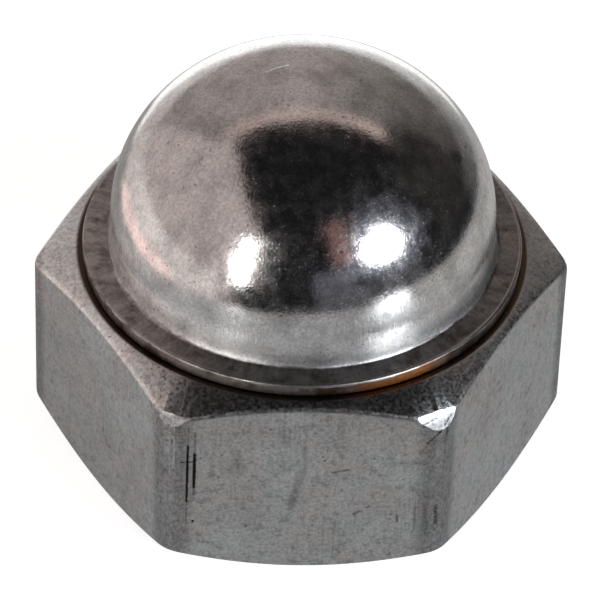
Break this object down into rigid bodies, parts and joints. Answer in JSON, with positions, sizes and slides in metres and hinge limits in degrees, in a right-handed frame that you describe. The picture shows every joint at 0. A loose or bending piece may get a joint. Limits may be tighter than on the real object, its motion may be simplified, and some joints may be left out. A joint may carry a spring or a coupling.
{
  "type": "cap nut",
  "caption": "Hexagon cap nut: a chamfered nut with a metric threaded hole, closed by a pressed dome cap that is welded to its top face.",
  "frame": {"origin": "centre of the bearing face, on the thread axis", "axes": "+Z along the thread axis from the bearing face to the dome; +X to a corner of the hexagon, so two flats face along Y"},
  "size_m": [0.0194, 0.017, 0.0158],
  "materials": {
    "nut_steel": "cold-formed stainless steel, satin with fine die lines",
    "cap_steel": "deep-drawn stainless steel, tumble polished"
  },
  "bodies": {
    "root": {"hex_nut": "nut_steel", "dome_cap": "cap_steel"}
  },
  "joints": []
}
